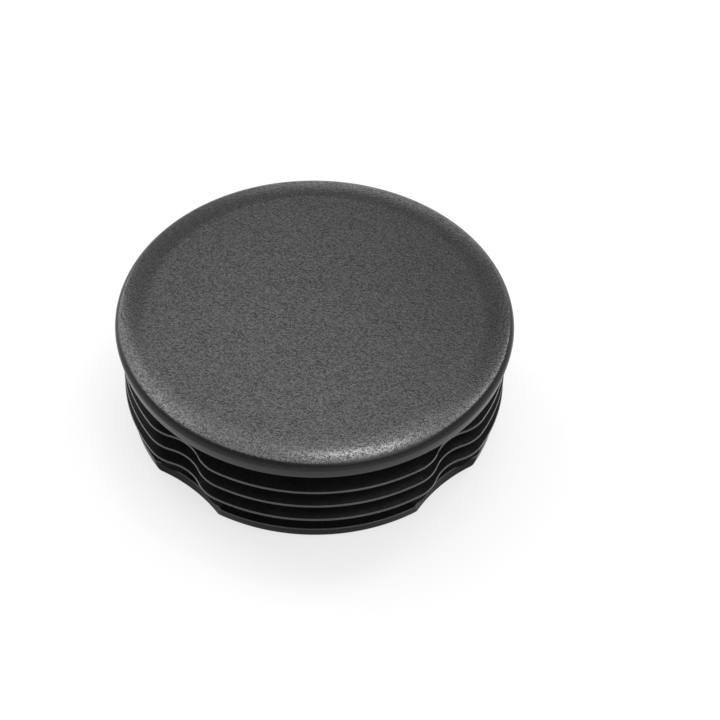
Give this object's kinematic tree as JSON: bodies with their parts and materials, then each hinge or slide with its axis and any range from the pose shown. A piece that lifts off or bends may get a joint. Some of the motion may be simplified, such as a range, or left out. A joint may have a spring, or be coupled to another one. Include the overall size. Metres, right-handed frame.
{
  "type": "tube end cap",
  "caption": "Round plastic end cap for a tube: a flat head with a soft shoulder over a hollow fluted plug with springy ribs that grip the bore.",
  "frame": {"origin": "centre of the plug's mouth, in the plane that the cap stands on", "axes": "+Z along the plug's axis towards the head; the flutes lie midway between the X and Y axes"},
  "size_m": [0.076, 0.076, 0.0234],
  "materials": {
    "black_plastic": "black moulded polyethylene: a fine spark-textured grain on the head, smooth satin on the plug"
  },
  "bodies": {
    "root": {"end_cap": "black_plastic"}
  },
  "joints": []
}
